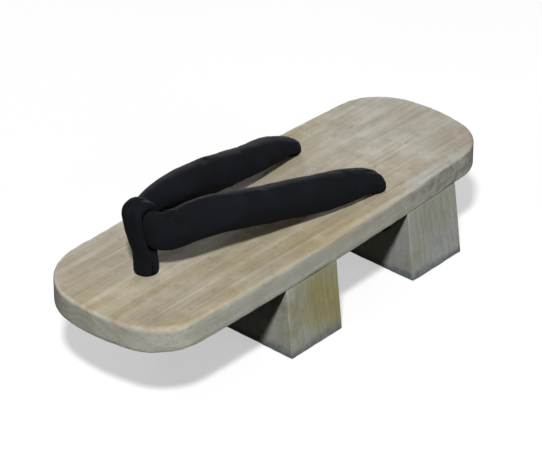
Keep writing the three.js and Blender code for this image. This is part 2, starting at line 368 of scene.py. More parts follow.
# How far a tooth is set in under the board's sides, and the gap of its glued joint.
TOOTH_INSET = 0.1 * MM
JOINT_GAP = 0.02 * MM
# Levels on a block's rounded bottom and top edges, and rows up the walls of the board and of a tooth.
BOTTOM_LEVELS = 6
TOP_LEVELS = 8
BOARD_ROWS = 7
TOOTH_ROWS = 18
# The net of points over a block's flat ends, and as shares of its pitch: where a row starts,
# the shift of every other row, the step to the next row and the distance kept from edges.
NET_PITCH = 2.2 * MM
NET_START = 0.8
NET_SHIFT = 0.5
NET_ROW = 0.87
NET_CLEAR = 0.6
SAME_POINT = 1e-9
# A hole's rim and wall: extra radius and depth under the board's top, in millimetres.
THICKNESS = (TOP - UNDER) / MM
HOLE_STEPS = (
    (0.6, 0.0), (0.25, 0.12), (0.05, 0.4), (0.0, 0.8), (0.0, THICKNESS - 0.5), (0.3, THICKNESS))
HOLE_POINTS = 40
HOLE_WEAR = 0.6
# Extra radius round a hole that the net keeps out of, on the board's top and underside.
CLEAR_TOP = 0.55
CLEAR_UNDER = 0.25
# Dents along worn edges: scale of the coarse and the fine ones, and share of the fine ones.
COARSE_DENTS = 95
FINE_DENTS = 310
FINE_SHARE = 0.6
# Waves left by the plane: their height, and their scale across and along the wood.
WAVE = 0.06 * MM
WAVE_ACROSS = 70
WAVE_ALONG = 22
# A small flat left by the plane on the outer toe corner: its middle and half angle on the arc.
PLANED_FLAT = (math.radians(28.2), math.radians(4.8))


def half_width(size, y):
    s = y / (2 * HALF_LENGTH) + 0.5
    bow = size.side_bow * (1 - (y / HALF_LENGTH) ** 2)
    return mixed(size.half_toe, size.half_heel, s) + bow


def end_arcs(size, end_radius, corner_radius, toward, inset, flat=None):
    """Plan points of one end on the +X side: the round corner, then half of the end arc."""
    middle = HALF_LENGTH - end_radius
    along = CORNER_GUESS * HALF_LENGTH
    for _ in range(CORNER_ROUNDS):
        across = half_width(size, toward * along) - corner_radius
        along = middle + math.sqrt((end_radius - corner_radius) ** 2 - across ** 2)
    turn = math.atan2(along - middle, across)
    points = []
    for k in range(CORNER_STEPS + 1):
        t = turn * k / CORNER_STEPS
        r = corner_radius
        if flat and abs(t - flat[0]) < flat[1]:
            r *= math.cos(flat[1]) / math.cos(t - flat[0])
        r -= inset
        points.append((across + r * math.cos(t), toward * (along + r * math.sin(t))))
    for k in range(1, END_STEPS + 1):
        t = mixed(turn, math.pi / 2, k / END_STEPS)
        r = end_radius - inset
        points.append((r * math.cos(t), toward * (middle + r * math.sin(t))))
    return points


def side_line(size, toe_corner, heel_corner, inset, flat=None):
    toe = end_arcs(size, size.toe_radius, toe_corner, -1, inset, flat)[::-1]
    heel = end_arcs(size, size.heel_radius, heel_corner, 1, inset)
    start, stop = toe[-1][1], heel[0][1]
    side = []
    for k in range(1, SIDE_STEPS):
        y = mixed(start, stop, k / SIDE_STEPS)
        side.append((half_width(size, y) - inset, y))
    return toe + side + heel


def board_outline(size, inset):
    near = side_line(size, size.toe_corner_near, size.heel_corner_near, inset, PLANED_FLAT)
    far = side_line(size, size.toe_corner_far, size.heel_corner_far, inset)
    return near + [(-x, y) for x, y in far[-2:0:-1]]


def tooth_outline(board, size, plan, z, inset):
    front, back_foot, back_top, half_foot = (v * MM for v in plan)
    s = z / UNDER
    r = size.corner_round
    back = mixed(back_foot, back_top, s)
    # Side, place, way along the board and first angle of each corner's arc.
    turns = ((1, front, -1, -90), (1, back, 1, 0), (-1, back, 1, 90), (-1, front, -1, 180))
    corners = []
    for side, y, along, start in turns:
        half = mixed(half_foot, half_width(board, y) - TOOTH_INSET, s) - inset
        centre = (side * (half - r), y - along * (r + inset))
        arc = []
        for k in range(TOOTH_CORNER):
            t = math.radians(start + 90 * k / (TOOTH_CORNER - 1))
            arc.append((centre[0] + r * math.cos(t), centre[1] + r * math.sin(t)))
        corners.append(arc)
    ring = []
    for k, arc in enumerate(corners):
        ring += arc
        a, b = arc[-1], corners[(k + 1) % 4][0]
        steps = TOOTH_STEPS[k % 2]
        for j in range(1, steps):
            ring.append((mixed(a[0], b[0], j / steps), mixed(a[1], b[1], j / steps)))
    return ring


def rounded_levels(low, high, under_round, top_round, rows):
    """Inset, height and edge weight of each ring of a block, from its underside to its top."""
    levels = []
    for k in range(BOTTOM_LEVELS):
        t = math.pi / 2 * k / (BOTTOM_LEVELS - 1)
        inset, rise = under_round * (1 - math.sin(t)), under_round * (1 - math.cos(t))
        levels.append((inset, low + rise, math.cos(t)))
    for k in range(1, rows):
        levels.append((0.0, mixed(low + under_round, high - top_round, k / rows), 0.0))
    for k in range(TOP_LEVELS):
        t = math.pi / 2 * k / (TOP_LEVELS - 1)
        inset, drop = top_round * (1 - math.cos(t)), top_round * (1 - math.sin(t))
        levels.append((inset, high - drop, math.sin(2 * t)))
    return levels


def end_net(points, loop, rims):
    """Triangles that fill a flat end of a block round its holes. New points are added to points."""
    z = points[loop[0]].z
    loops = [loop] + [rim for _, _, rim in rims]
    index = [i for ring in loops for i in ring]
    flat = [points[i].xy for i in index]
    lines = []
    start = 0
    for ring in loops:
        count = len(ring)
        lines += [(start + k, start + (k + 1) % count) for k in range(count)]
        start += count
    border = kdtree.KDTree(len(flat))
    for k, p in enumerate(flat):
        border.insert(p.to_3d(), k)
    border.balance()
    outline = [points[i].xy for i in loop]
    y = min(p.y for p in outline) + NET_PITCH
    row = 0
    while y < max(p.y for p in outline):
        cuts = []
        for a, b in zip(outline, outline[1:] + outline[:1]):
            if (a.y - y) * (b.y - y) < 0:
                cuts.append(mixed(a.x, b.x, (y - a.y) / (b.y - a.y)))
        x = min(cuts) + NET_PITCH * (NET_START + NET_SHIFT * (row % 2))
        while x < max(cuts):
            p = Vector((x, y))
            clear = border.find(p.to_3d())[2] > NET_CLEAR * NET_PITCH
            if clear and all((p - middle).length > radius for middle, radius, _ in rims):
                index.append(len(points))
                points.append(Vector((x, y, z)))
                flat.append(p)
            x += NET_PITCH
        y += NET_PITCH * NET_ROW
        row += 1
    inside_outline = 1
    _, _, faces, source, _, _ = delaunay_2d_cdt(flat, lines, [], inside_outline, SAME_POINT)
    faces = [[index[source[i][0]] for i in face] for face in faces]
    over_holes = [set(rim) for _, _, rim in rims]
    return [face for face in faces if not any(rim.issuperset(face) for rim in over_holes)]


def wooden_block(name, rings, edges, holes, wear, material):
    """A closed block: a skin over rings from the underside up, with both ends filled."""
    points = [Vector(p) for ring in rings for p in ring]
    weight = [edge for ring, edge in zip(rings, edges) for _ in ring]
    count = len(rings[0])
    faces = []
    for r in range(len(rings) - 1):
        faces += band(r * count, (r + 1) * count, count)
    top_rims, under_rims = [], []
    for x, y in holes:
        centre = Vector((x, y)) * MM
        base = len(points)
        for extra, down in HOLE_STEPS:
            r, z = (HOLE_RADIUS + extra) * MM, TOP - down * MM
            for k in range(HOLE_POINTS):
                t = 2 * math.pi * k / HOLE_POINTS
                points.append(Vector((centre.x + r * math.cos(t), centre.y + r * math.sin(t), z)))
                weight.append(HOLE_WEAR if down == 0.0 else 0.0)
        starts = [base + s * HOLE_POINTS for s in range(len(HOLE_STEPS))]
        for above, below in zip(starts, starts[1:]):
            faces += band(above, below, HOLE_POINTS)
        for rims, extra, start in ((top_rims, CLEAR_TOP, base), (under_rims, CLEAR_UNDER, starts[-1])):
            rims.append((centre, (HOLE_RADIUS + extra) * MM, list(range(start, start + HOLE_POINTS))))
    last = (len(rings) - 1) * count
    faces += end_net(points, list(range(last, last + count)), top_rims)
    faces += [face[::-1] for face in end_net(points, list(range(count)), under_rims)]
    weight += [0.0] * (len(points) - len(weight))
    piece = new_piece(name, points, faces, material)
    mesh = piece.data
    normals = [n.vector.copy() for n in mesh.vertex_normals]
    for v, n, w in zip(mesh.vertices, normals, weight):
        dents = max(noise.noise(v.co * COARSE_DENTS), 0) + FINE_SHARE * max(noise.noise(v.co * FINE_DENTS), 0)
        waves = noise.noise(Vector((v.co.x * WAVE_ACROSS, v.co.y * WAVE_ALONG, v.co.z * WAVE_ACROSS)))
        v.co += n * (WAVE * waves - wear * w * dents)
        v.co.z = max(v.co.z, 0.0)
    edge = mesh.attributes.new("edge", "FLOAT", "POINT")
    edge.data.foreach_set("value", weight)
    return piece


# Finishes.


def add(tree, kind, inputs=None, **settings):
    """A node with its settings, and its inputs linked or set."""
    made = tree.nodes.new(kind)
    for key, value in settings.items():
        setattr(made, key, value)
    for key, value in (inputs or {}).items():
        if isinstance(value, bpy.types.NodeSocket):
            tree.links.new(value, made.inputs[key])
        else:
            made.inputs[key].default_value = value
    return made


def maths(tree, operation, a, b=0.0):
    return add(tree, "ShaderNodeMath", {0: a, 1: b}, operation=operation).outputs[0]


def times(tree, a, b):
    return maths(tree, "MULTIPLY", a, b)


def between(tree, value, low, high, to_low=0.0, to_high=1.0):
    """to_low where the value is low or less, to_high where it is high or more, and smooth between."""
    inputs = {"Value": value, "From Min": low, "From Max": high, "To Min": to_low, "To Max": to_high}
    return add(tree, "ShaderNodeMapRange", inputs, interpolation_type="SMOOTHSTEP").outputs[0]


def tint(tree, amount, a, b, blend="MIX"):
    """Colour a with b laid over it by amount."""
    a, b = (c if isinstance(c, bpy.types.NodeSocket) else (*c, 1.0) for c in (a, b))
    inputs = {0: amount, 6: a, 7: b}
    return add(tree, "ShaderNodeMix", inputs, data_type="RGBA", blend_type=blend).outputs[2]


def cloud(tree, vector, stretch, scale, detail=2.0, roughness=0.5, shift=(0.0, 0.0, 0.0)):
    """Noise whose pattern is stretched along the axes."""
    placed = add(tree, "ShaderNodeMapping", {"Vector": vector, "Scale": stretch, "Location": shift})
    inputs = {"Vector": placed.outputs[0], "Scale": scale, "Detail": detail, "Roughness": roughness}
    return add(tree, "ShaderNodeTexNoise", inputs).outputs["Fac"]


def finish(name, roughness):
    made = bpy.data.materials.new(name)
    made.use_nodes = True
    shader = made.node_tree.nodes["Principled BSDF"]
    shader.inputs["Roughness"].default_value = roughness
    return made, made.node_tree, shader


# Marks on the wood: colour, middle and reach in millimetres, and strength.
BOARD_MARKS = (
    ("grey", (0, 114, 48), (80, 68, 60), 0.85),
    ("warm", (36, -2, 50), (15, 50, 7), 0.9),
    ("warm", (-24, 30, 50), (18, 34, 7), 0.35),
    ("slate", (44, -19, 44), (5, 13, 6), 0.35),
    ("warm", (-20, -98, 50), (12, 26, 6), 0.45),
    ("tan", (-22, -94, 50), (20, 28, 6), 0.75),
    ("slate", (41, 78, 44), (10, 44, 12), 0.85),
    ("tan", (25, 106, 50), (16, 24, 8), 0.8),
    ("tan", (-10, 108, 50), (20, 12, 8), 0.5),
)
TOOTH_MARKS = {
    "front": (
        ("slate", (0, -37, 20), (70, 9, 40), 0.9),
        ("wall", (0, -37, 20), (70, 9, 40), 0.5),
        ("slate", (45, -30, 6), (12, 13, 12), 0.7),
        ("ochre", (45, -15, 23), (14, 13, 15), 0.8),
        ("ochre", (45, -5, 12), (14, 8, 16), 0.9),
    ),
    "rear": (
        ("olive", (44, 70, 28), (16, 20, 18), 0.65),
        # Blue-grey patches on the rear tooth's outer side, low down and in the middle.
        ("greying", (44, 55, 3), (16, 16, 10), 0.45),
        ("greying", (44, 72, 20), (18, 26, 28), 0.35),
    ),
}

# How uneven the rim of a mark is, and where it begins and ends to fade, as shares of its reach.
MARK_UNEVEN = 0.2
MARK_FADE = (0.3, 1.05)


def mark(tree, spot, middle, reach, ragged):
    """1 in the middle of a soft patch and 0 outside it, with an uneven rim."""
    scale = tuple(1 / (r * MM) for r in reach)
    shift = tuple(-m / r for m, r in zip(middle, reach))
    placed = add(tree, "ShaderNodeMapping", {"Vector": spot, "Scale": scale, "Location": shift})
    away = add(tree, "ShaderNodeVectorMath", {0: placed.outputs[0]}, operation="LENGTH").outputs["Value"]
    uneven = maths(tree, "ADD", away, between(tree, ragged, 0.3, 0.7, -MARK_UNEVEN, MARK_UNEVEN))
    return between(tree, uneven, *MARK_FADE, 1.0, 0.0)


# Each kind of grain: its axis, the stretch of thin fibres, across the fibres, and of long patches.
GRAINS = {
    "Y": ((0.0, 1.0, 0.0), (1.0, 0.035, 1.0), (1.0, 0.0, 1.0), (1.0, 0.40, 1.0)),
    "Z": ((0.0, 0.0, 1.0), (1.0, 1.0, 0.06), (1.0, 1.0, 0.0), (1.0, 1.0, 0.6)),
}
# How far fibres slide past each other, and how far the growth rings wander, in metres.
FIBRE_SLIDE = 0.16
RING_DRIFT = 0.024
# Pale streaks and bare edges are weaker on the teeth.
TOOTH_PALENESS = 0.35
# Where the board's pale edge, bare rubbed wood and partly a painted highlight of its rounded rim, fades,
# towards the heel and the outer side, and what is left of it.
BARE_AND_HIGHLIGHT_TO_HEEL = (-0.08, 0.02)
BARE_AND_HIGHLIGHT_TO_SIDE = (0.0, 0.022)
BARE_AND_HIGHLIGHT_LEFT = 0.3
# Where the outer side gets rough, across and along the board.
ROUGH_ACROSS = (0.0, 0.035)
ROUGH_ALONG = (0.02, 0.08)
# The blue-grey band at the feet: how uneven its line is, how high it fades out, where its dark rim
# begins and ends, both as shares of the band's height, and how dark the rim is.
GREYING_UNEVEN = 1.6 * MM
GREYING_FADE = 2.4
GREYING_RIM = (0.6, 1.6)
RIM_TONE = 0.5


def wood_finish(name, colours, grain, pith, base, second, marks, foot=False):
    """Bare weathered wood. grain is the axis that the fibres follow, pith the heart of the rings."""
    made, tree, shader = finish(name, 0.7)
    along, thin, across, long_patch = GRAINS[grain]
    spot = add(tree, "ShaderNodeTexCoord").outputs["Object"]
    at = add(tree, "ShaderNodeSeparateXYZ", {0: spot}).outputs
    normal = add(tree, "ShaderNodeNewGeometry").outputs["Normal"]
    facing = add(tree, "ShaderNodeSeparateXYZ", {0: normal}).outputs

    # Fibres slide past each other, so that their streaks don't line up across the grain.
    slide = times(tree, cloud(tree, spot, across, 420.0, 2.0), FIBRE_SLIDE)
    slid = add(tree, "ShaderNodeVectorMath", {0: along, "Scale": slide}, operation="SCALE").outputs[0]
    lying = add(tree, "ShaderNodeVectorMath", {0: spot, 1: slid}, operation="ADD").outputs[0]

    # Growth rings: distance from the pith, pushed about a little along the grain.
    drift = cloud(tree, spot, thin, 34.0, 2.0)
    from_pith = tuple(-v for v in pith)
    flat = add(tree, "ShaderNodeMapping", {"Vector": spot, "Scale": across, "Location": from_pith})
    radius = add(tree, "ShaderNodeVectorMath", {0: flat.outputs[0]}, operation="LENGTH").outputs["Value"]
    pushed = maths(tree, "ADD", radius, times(tree, drift, RING_DRIFT))
    ring = maths(tree, "FRACT", times(tree, pushed, 1 / colours.ring_pitch))
    rise = between(tree, ring, 0.25, 0.9)
    fall = between(tree, ring, 0.93, 1.0, 1.0, 0.0)
    line = times(tree, rise, fall)

    fibre = cloud(tree, lying, thin, 900.0, 4.0, 0.62)
    streak = cloud(tree, lying, thin, 260.0, 3.0, 0.6, (0.3, 0.1, 0.2))
    short = tuple(v ** 0.6 for v in thin)
    pore = between(tree, cloud(tree, lying, short, 1700.0, 1.0), 0.62, 0.74)
    patch = cloud(tree, spot, long_patch, 30.0, 3.0, 0.55, (0.7, 0.2, 0.4))
    bleach = cloud(tree, spot, long_patch, 22.0, 3.0, 0.55, (0.1, 0.9, 0.6))
    blotch = cloud(tree, spot, EVEN, 95.0, 4.0, 0.6, (0.5, 0.3, 0.8))
    scuff = cloud(tree, spot, EVEN, 340.0, 3.0, 0.65, (0.2, 0.6, 0.1))

    patched = between(tree, patch, 0.48, 0.68, 0.0, 0.6)
    shade = tint(tree, patched, getattr(colours, base), getattr(colours, second))
    bleached = between(tree, bleach, 0.48, 0.70, 0.0, 0.45)
    shade = tint(tree, bleached, shade, colours.slate if foot else colours.grey)
    if not foot:
        upright = between(tree, maths(tree, "ABSOLUTE", facing["Z"]), 0.15, 0.85, 0.9, 0.0)
        shade = tint(tree, upright, shade, colours.wall)
    for key, middle, reach, strength in marks:
        amount = times(tree, mark(tree, spot, middle, reach, blotch), strength)
        shade = tint(tree, amount, shade, getattr(colours, key))

    # The walls of a tooth are tinted blue-grey towards the foot, below an uneven line.
    if foot:
        wander = between(tree, blotch, 0.3, 0.7, -GREYING_UNEVEN, GREYING_UNEVEN)
        line_at = maths(tree, "ADD", at["Z"], wander)
        foot_greying = between(tree, line_at, 0.0, colours.greying_height * GREYING_FADE, 0.8, 0.0)
        foot_greying = times(tree, foot_greying, between(tree, bleach, 0.35, 0.65, 0.7, 1.0))
        wall_only = between(tree, facing["Z"], -0.95, -0.4, 0.4, 1.0)
        foot_greying = times(tree, foot_greying, wall_only)
        shade = tint(tree, foot_greying, shade, colours.greying)

    # Weathering, grain lines, fibres, pores and pale rubbed edges over the patches; on the board's rounded
    # rims the pale edge is partly a painted highlight.
    def stained(amount, over):
        return tint(tree, amount, over, colours.line, "MULTIPLY")

    pale = TOOTH_PALENESS if foot else 1.0
    shade = stained(between(tree, blotch, 0.46, 0.70, 0.0, 0.34), shade)
    shade = tint(tree, between(tree, blotch, 0.50, 0.28, 0.0, 0.16 * pale), shade, colours.edge)
    shade = stained(times(tree, line, between(tree, bleach, 0.3, 0.7, 0.30, 0.12)), shade)
    shade = stained(between(tree, fibre, 0.42, 0.74, 0.0, 0.42), shade)
    shade = tint(tree, between(tree, streak, 0.50, 0.72, 0.0, 0.20 * pale), shade, colours.edge)
    shade = stained(times(tree, pore, 0.35), shade)
    shade = stained(between(tree, scuff, 0.58, 0.74, 0.0, 0.60), shade)
    # Pale edge: bare rubbed wood along worn edges and hole rims; on the board's rounded rims it is partly a
    # painted highlight, strongest at the toe.
    rim_weight = add(tree, "ShaderNodeAttribute", attribute_name="edge").outputs["Fac"]
    bare_and_highlight = times(tree, rim_weight, between(tree, blotch, 0.60, 0.38, 0.14, 0.36 * pale))
    if not foot:
        bare_and_highlight = times(tree, bare_and_highlight, between(tree, at["Y"], *BARE_AND_HIGHLIGHT_TO_HEEL, 1.0, BARE_AND_HIGHLIGHT_LEFT))
        bare_and_highlight = times(tree, bare_and_highlight, between(tree, at["X"], *BARE_AND_HIGHLIGHT_TO_SIDE, 1.0, BARE_AND_HIGHLIGHT_LEFT))
    shade = tint(tree, bare_and_highlight, shade, colours.edge)
    if not foot:
        # The outer side is rougher and dirtier towards the heel.
        heel = times(tree, between(tree, at["X"], *ROUGH_ACROSS), between(tree, at["Y"], *ROUGH_ALONG))
        pitted = between(tree, cloud(tree, spot, EVEN, 210.0, 3.0), 0.44, 0.62, 0.0, 0.8)
        shade = stained(times(tree, times(tree, upright, heel), pitted), shade)
    # The very bottom of a tooth's walls is darker again.
    if foot:
        low, high = (colours.greying_height * share for share in GREYING_RIM)
        rim = between(tree, line_at, low, high, 0.85, 0.0)
        rim = times(tree, rim, between(tree, scuff, 0.36, 0.60, 0.45, 1.0))
        rim = times(tree, rim, wall_only)
        shade = tint(tree, rim, shade, [v * RIM_TONE for v in colours.greying])
    tree.links.new(shade, shader.inputs["Base Color"])
    tree.links.new(between(tree, fibre, 0.3, 0.7, 0.60, 0.80), shader.inputs["Roughness"])
    shader.inputs["Specular IOR Level"].default_value = 0.3

    relief = maths(tree, "ADD", times(tree, line, 0.35), times(tree, fibre, 0.7))
    relief = maths(tree, "SUBTRACT", relief, times(tree, pore, 0.5))
    relief = maths(tree, "ADD", relief, times(tree, scuff, 1.1))
    bump = add(tree, "ShaderNodeBump", {"Height": relief, "Strength": 0.55, "Distance": 0.18 * MM})
    tree.links.new(bump.outputs[0], shader.inputs["Normal"])
    return made


# Colours of the painted shade in the hollows of the weave, of its soft sheen and of the sewing thread's pale
# twist.
WEAVE_HOLLOW_SHADE = (0.0028, 0.003, 0.0045)
CLOTH_SHEEN = (0.55, 0.6, 0.8, 1.0)
PALE_TWIST = (0.035, 0.038, 0.055)


def cloth_finish(name, colours):
    """Plain-woven dark cotton. The weave follows the piece's own UV map, which is in metres."""
    made, tree, shader = finish(name, 0.88)
    spot = add(tree, "ShaderNodeTexCoord")
    thread = math.pi / colours.thread_pitch
    counted = {0: spot.outputs["UV"], 1: (thread, thread, 0.0)}
    turn = add(tree, "ShaderNodeVectorMath", counted, operation="MULTIPLY")
    way = add(tree, "ShaderNodeSeparateXYZ", {0: turn.outputs[0]})
    warp = maths(tree, "SINE", way.outputs["X"])
    weft = maths(tree, "SINE", way.outputs["Y"])
    crossing = {0: times(tree, warp, weft), 1: 0.5, 2: 0.5}
    weave = add(tree, "ShaderNodeMath", crossing, operation="MULTIPLY_ADD").outputs[0]
    slub = cloud(tree, spot.outputs["UV"], (1.0, 0.08, 1.0), 900.0, 3.0, 0.6)
    fuzz = cloud(tree, spot.outputs["Object"], EVEN, 1500.0, 3.0, 0.65)
    worn = cloud(tree, spot.outputs["Object"], EVEN, 55.0, 3.0, 0.55)

    shade = tint(tree, between(tree, worn, 0.42, 0.70, 0.0, 0.8), colours.navy, colours.faded)
    shade = tint(tree, between(tree, fuzz, 0.45, 0.75, 0.0, 0.55), shade, colours.faded)
    # Painted shade in the hollows between the threads.
    shade = tint(tree, between(tree, weave, 0.0, 0.5, 0.45, 0.0), shade, WEAVE_HOLLOW_SHADE)
    tree.links.new(shade, shader.inputs["Base Color"])
    tree.links.new(between(tree, fuzz, 0.3, 0.7, 0.82, 0.95), shader.inputs["Roughness"])
    shader.inputs["Specular IOR Level"].default_value = 0.10
    shader.inputs["Sheen Weight"].default_value = 0.015
    shader.inputs["Sheen Roughness"].default_value = 0.5
    shader.inputs["Sheen Tint"].default_value = CLOTH_SHEEN

    relief = maths(tree, "ADD", times(tree, weave, 0.7), times(tree, slub, 0.5))
    relief = maths(tree, "ADD", relief, times(tree, fuzz, 0.5))
    bump = add(tree, "ShaderNodeBump", {"Height": relief, "Strength": 0.6, "Distance": 0.16 * MM})
    tree.links.new(bump.outputs[0], shader.inputs["Normal"])
    return made


def shared_finish(name, make, *arguments):
    """The finish of that name, made once."""
    return bpy.data.materials.get(name) or make(name, *arguments)


# Cloth pieces.

# Steps that a curve is measured in from one of its points to the next, and how far ahead along it
# its direction is taken.
CURVE_STEPS = 30
LOOK_AHEAD = 0.02
# Rounds of gathering and of smoothing a tight bend, and half the step left from ring to ring.
GATHER_ROUNDS = 6
RELAX_ROUNDS = 14
LEAST_STEP = 0.02 * MM


def through(points, u):
    """Point at u on a smooth curve through all points: 0 is the first of them, 1 the second and so on."""
    k = min(int(u), len(points) - 2)
    t = u - k
    p1, p2 = points[k], points[k + 1]
    p0 = points[k - 1] if k else 2 * p1 - p2
    p3 = points[k + 2] if k + 2 < len(points) else 2 * p2 - p1
    d0, d1, d2 = (max((b - a).length, 1e-6) ** 0.5 for a, b in ((p0, p1), (p1, p2), (p2, p3)))
    m1 = ((p1 - p0) / d0 - (p2 - p0) / (d0 + d1) + (p2 - p1) / d1) * d1
    m2 = ((p2 - p1) / d1 - (p3 - p1) / (d1 + d2) + (p3 - p2) / d2) * d1
    return (2 * t ** 3 - 3 * t ** 2 + 1) * p1 + (t ** 3 - 2 * t ** 2 + t) * m1 \
        + (3 * t ** 2 - 2 * t ** 3) * p2 + (t ** 3 - t ** 2) * m2


def eased(values, u):
    """Value at u along a row of values, smooth and without overshoot."""
    k = min(int(u), len(values) - 2)
    t = u - k
    a, b = values[k], values[k + 1]
    before = a - values[k - 1] if k else b - a
    after = values[k + 2] - b if k + 2 < len(values) else b - a
    step = b - a
    m1 = 2 * before * step / (before + step) if before * step > 0 else 0.0
    m2 = 2 * after * step / (after + step) if after * step > 0 else 0.0
    return a + (3 * t ** 2 - 2 * t ** 3) * step + (t ** 3 - 2 * t ** 2 + t) * m1 + (t ** 3 - t ** 2) * m2


def heading(points, u):
    """Direction at u of a smooth curve through the points."""
    after = through(points, min(u + LOOK_AHEAD, len(points) - 1.0))
    before = through(points, max(u - LOOK_AHEAD, 0.0))
    return (after - before).normalized()


def stations(points, step):
    """Evenly spaced (u, distance) along a smooth curve through the points."""
    us = [k / CURVE_STEPS for k in range((len(points) - 1) * CURVE_STEPS + 1)]
    places = [through(points, u) for u in us]
    run = [0.0]
    for a, b in zip(places, places[1:]):
        run.append(run[-1] + (b - a).length)
    count = max(round(run[-1] / step), 2)
    found = []
    j = 0
    for k in range(count + 1):
        want = run[-1] * k / count
        while j < len(run) - 2 and run[j + 1] < want:
            j += 1
        t = (want - run[j]) / max(run[j + 1] - run[j], 1e-9)
        found.append((mixed(us[j], us[j + 1], t), want))
    return found


def ring_angles(count):
    """Angles of the points of a ring, from its underside round."""
    return [2 * math.pi * k / count - math.pi / 2 for k in range(count)]


def girth_of(ring):
    return sum((a - b).length for a, b in zip(ring, ring[1:] + ring[:1]))


def oval_point(t, squareness):
    """Point at angle t of an oval of size 1: an ellipse at squareness 2, and squarer above that."""
    full = 2 / squareness
    c, s = math.cos(t), math.sin(t)
    return math.copysign(abs(c) ** full, c), math.copysign(abs(s) ** full, s)


def unfolded(rings):
    """Rings with the points on the inside of a tight bend gathered, so that no ring passes the next."""
    count = len(rings[0])
    middles = [sum(ring, Vector()) / count for ring in rings]
    for _ in range(GATHER_ROUNDS):
        for r in range(len(rings) - 1):
            ahead = (middles[r + 1] - middles[r]).normalized()
            for k in range(count):
                a, b = rings[r][k], rings[r + 1][k]
                if (b - a).dot(ahead) < LEAST_STEP:
                    middle = (a + b) / 2
                    rings[r][k] = middle - ahead * LEAST_STEP
                    rings[r + 1][k] = middle + ahead * LEAST_STEP
    return rings


def relaxed(rings, amounts):
    """Rings drawn towards the middle of their neighbours, each by its amount from 0 to 1."""
    for _ in range(RELAX_ROUNDS):
        before = rings
        rings = [before[0]]
        for ring, last, following, amount in zip(before[1:], before, before[2:], amounts[1:]):
            rings.append([p.lerp((a + b) / 2, amount / 2) for p, a, b in zip(ring, last, following)])
        rings.append(before[-1])
    return rings


def sleeve(name, rings, run, girth, material, loop=False):
    """A cloth sleeve over rings, with a UV map in metres along it and round it."""
    count = len(rings[0])
    points = [p for ring in rings for p in ring]
    faces = []
    spans = len(rings) if loop else len(rings) - 1
    for r in range(spans):
        quads = band(r * count, (r + 1) % len(rings) * count, count)
        faces += [(a, d, c, b) for a, b, c, d in quads]
    if not loop:
        for ring, base, turned in ((rings[0], 0, False), (rings[-1], (len(rings) - 1) * count, True)):
            points.append(sum(ring, Vector()) / count)
            for k in range(count):
                face = (len(points) - 1, base + k, base + (k + 1) % count)
                faces.append(face[::-1] if turned else face)
    piece = new_piece(name, points, faces, material)
    uv = piece.data.uv_layers.new(name="cloth")
    for face in piece.data.polygons:
        ring_at = [min(i // count, len(rings) - 1) for i in face.vertices]
        round_at = [i % count for i in face.vertices]
        wraps = max(round_at) - min(round_at) > count / 2
        for corner, r, k in zip(face.loop_indices, ring_at, round_at):
            along = run[r]
            if loop and r == 0 and max(ring_at) == len(rings) - 1:
                along = run[-1] + (run[1] - run[0])
            uv.data[corner].uv = ((k + count if wraps and k == 0 else k) / count * girth, along)
    return piece


# The strap's sleeve: step from ring to ring, points round a ring, and shape of its oval.
STRAP_STEP = 1.0 * MM
STRAP_ROUND = 72
STRAP_SQUARE = 2.2
# Where the inner arm flattens, along it and by its rise over the board, in millimetres.
DROP_ALONG = (26, 40)
DROP_RISE = (0.6, 4.0)
# Least height of the strap over the board, and of the stitches over the cloth.
STRAP_CLEAR = 0.15 * MM
STITCH_LIFT = 0.05 * MM


def strap_rows():
    """Rows of the whole strap from the far rear hole over the apex to the near one."""
    rows = []
    for way, table in ((-1, ARM[:0:-1]), (1, ARM)):
        for side, back, rise, wide, thick, tilt in table:
            lean = APEX_LEAN * min(max((ARM[-1][1] - back) / (ARM[-1][1] - ARM[0][1]), 0.0), 1.0)
            drop = INNER_DROP * smooth(back, *DROP_ALONG) * smooth(rise, *DROP_RISE) if way < 0 else 0.0
            height = TOP + (rise - drop / 2) * MM
            place = Vector((way * side + lean, back, 0.0)) * MM + Vector((0, 0, height))
            rows.append((place, (wide + drop) * MM, (thick - drop) * MM, math.radians(tilt)))
    return rows


# Scales of the padding's large and small lumps, and of the wander of the pleats.
LARGE_LUMPS = 75
SMALL_LUMPS = 170
PLEAT_WANDER = 120
# Folds round the strap beside the thong, their turn along it, and half the seam's width, in radians.
FOLDS = 4
FOLD_TURN = 28
SEAM_REACH = 0.13


def strap_relief(cloth, t, place, from_apex, to_board, way):
    """How far the padded cloth stands out or in at angle t of a ring."""
    lumps = noise.noise(place * LARGE_LUMPS) + 0.5 * noise.noise(place * SMALL_LUMPS)
    out = cloth.lump * lumps * smooth(to_board, 0.0, 14 * MM) * smooth(from_apex, 5 * MM, 12 * MM)
    # Pleats, gathered towards the rear hole.
    gather = smooth(to_board, 17 * MM, 3 * MM) * smooth(to_board, -1.5 * MM, 0.8 * MM)
    wander = 0.8 * noise.noise(place * PLEAT_WANDER)
    ridge = abs(math.cos(cloth.pleat_count / 2 * t + 0.7 * way + wander))
    out += cloth.pleat * gather * (ridge ** 0.8 - 0.75)
    # Folds that fan out from the toe thong.
    pinch = smooth(from_apex, 4.5 * MM, 8 * MM) * smooth(from_apex, 34 * MM, 10 * MM)
    fan = math.cos(FOLDS * t + 0.6 * way + from_apex * FOLD_TURN)
    out += cloth.fold * pinch * 0.55 * (fan - 0.4) * (0.6 + 0.4 * math.sin(t))
    # The seam along the underside.
    under = math.exp(-((t + math.pi / 2) / SEAM_REACH) ** 2)
    out -= cloth.seam * under * smooth(to_board, 4 * MM, 16 * MM)
    return out


# Frames of the simulation, its quality, and how many rings and points its coarse sleeve counts as one.
FILL_FRAMES = 20
FILL_QUALITY = 6
COARSE = 2


